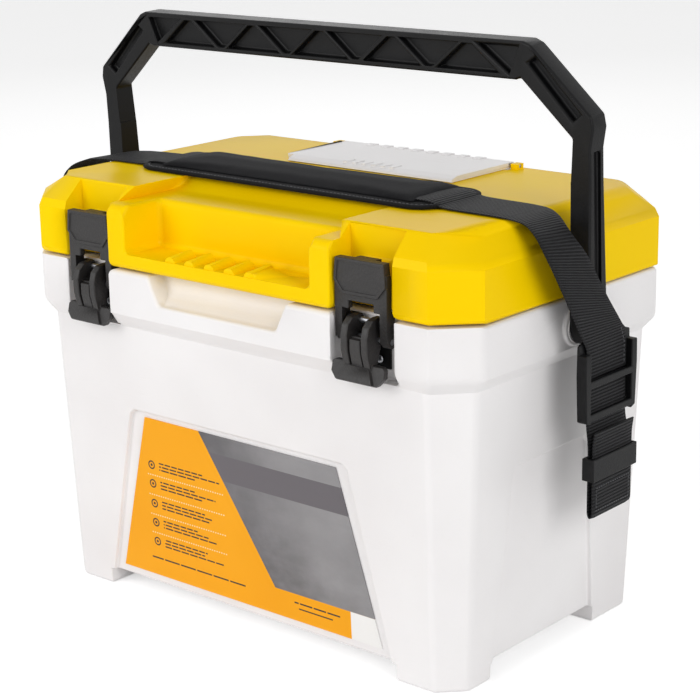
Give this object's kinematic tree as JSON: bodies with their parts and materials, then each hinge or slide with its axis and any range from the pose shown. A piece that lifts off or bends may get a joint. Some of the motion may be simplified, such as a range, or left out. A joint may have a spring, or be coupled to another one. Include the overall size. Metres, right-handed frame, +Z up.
{
  "type": "insulated bait cooler box",
  "caption": "Rectangular insulated bait cooler with a latched hinged lid, swinging bail handle, padded shoulder strap and a battery aerator in the lid.",
  "frame": {"origin": "on the ground under the middle of the whole object's bounding box", "axes": "+Z up, -Y towards the latches and label at the front, +X towards the buckle end of the shoulder strap"},
  "size_m": [0.474, 0.268, 0.4332],
  "materials": {
    "shell_white": "smooth moulded, slight gloss",
    "lid_yellow": "smooth moulded, slight gloss",
    "liner_white": "smooth",
    "foam": "cellular foam",
    "label": null,
    "black_plastic": "fine grained",
    "steel": "zinc plated",
    "gasket": "soft matt",
    "webbing": "ribbed nylon webbing",
    "pad": "padded woven cloth with a stitched border",
    "case_dark": "fine grained",
    "motor_can": "plain",
    "nylon": "natural nylon",
    "diaphragm_rubber": "soft",
    "battery": "plain sleeve, unprinted",
    "switch_red": "plain"
  },
  "bodies": {
    "tank": {"body_shell": "shell_white", "tank_liner": "liner_white", "body_foam": "foam", "front_label": "label", "hinge_post": "shell_white", "hinge_pin": "steel", "post_screws": "steel", "latch_brackets": "black_plastic", "bracket_screws": "steel", "latch_pivot_pins": "steel", "handle_bolts": "steel", "handle_washers": "shell_white", "strap_hanger_left": "black_plastic", "strap_buckle": "black_plastic", "strap_tail": "webbing", "strap_leg_left": "webbing", "strap_leg_right": "webbing"},
    "lid": {"lid_shell": "lid_yellow", "lid_panel": "liner_white", "lid_foam": "foam", "lid_gasket": "gasket", "hinge_leaf": "shell_white", "leaf_screws": "steel", "strap_pad": "pad", "strap_webbing": "webbing", "door_pins": "steel", "aerator_case": "case_dark", "aerator_motor": "motor_can", "aerator_diaphragm": "diaphragm_rubber", "batteries": "battery", "battery_contacts": "steel", "hose_nozzle": "case_dark"},
    "handle": {"handle": "black_plastic"},
    "door": {"aerator_door": "shell_white"},
    "switch": {"aerator_switch": "switch_red"},
    "coupler": {"motor_coupler": "nylon"},
    "lever_left": {"latch_lever_left": "black_plastic", "latch_link_pin_left": "steel"},
    "lever_right": {"latch_lever_right": "black_plastic", "latch_link_pin_right": "steel"},
    "link_left": {"latch_link_left": "black_plastic"},
    "link_right": {"latch_link_right": "black_plastic"},
    "keeper": {"strap_keeper": "black_plastic"}
  },
  "joints": [
    {"name": "lid_open", "type": "hinge", "parent": "tank", "child": "lid", "pos_m": [-0.00285, 0.1245, 0.314], "axis": [-1, 0, 0], "range_deg": [0, 95], "deforming": ["strap_leg_left", "strap_leg_right"]},
    {"name": "handle_swing", "type": "hinge", "parent": "tank", "child": "handle", "pos_m": [-0.00285, 0.0025, 0.242], "axis": [-1, 0, 0], "range_deg": [-125, 115]},
    {"name": "aerator_door_open", "type": "hinge", "parent": "lid", "child": "door", "pos_m": [-0.00285, 0.1075, 0.3222], "axis": [-1, 0, 0], "range_deg": [0, 110]},
    {"name": "aerator_switch_slide", "type": "slide", "parent": "lid", "child": "switch", "axis": [1, 0, 0], "range_m": [0, 0.004]},
    {"name": "motor_spin", "type": "hinge", "parent": "lid", "child": "coupler", "pos_m": [-0.05285, 0.0845, 0.285], "axis": [1, 0, 0], "continuous": true},
    {"name": "latch_lever_left_turn", "type": "hinge", "parent": "tank", "child": "lever_left", "pos_m": [-0.13235, -0.1185, 0.258], "axis": [-1, 0, 0], "range_deg": [0, 105]},
    {"name": "latch_lever_right_turn", "type": "hinge", "parent": "tank", "child": "lever_right", "pos_m": [0.12665, -0.1185, 0.258], "axis": [-1, 0, 0], "range_deg": [0, 105]},
    {"name": "latch_link_left_turn", "type": "hinge", "parent": "lever_left", "child": "link_left", "pos_m": [-0.13235, -0.12, 0.247], "axis": [-1, 0, 0], "range_deg": [-120, 0]},
    {"name": "latch_link_right_turn", "type": "hinge", "parent": "lever_right", "child": "link_right", "pos_m": [0.12665, -0.12, 0.247], "axis": [-1, 0, 0], "range_deg": [-120, 0]},
    {"name": "strap_keeper_slide", "type": "slide", "parent": "tank", "child": "keeper", "axis": [0, 0, 1], "range_m": [-0.012, 0.006]}
  ],
  "couplings": [
    {"joint": "handle_swing", "follows": "lid_open", "ratio": 1.15},
    {"joint": "latch_link_left_turn", "follows": "latch_lever_left_turn", "ratio": -1.1},
    {"joint": "latch_link_right_turn", "follows": "latch_lever_right_turn", "ratio": -1.1}
  ]
}
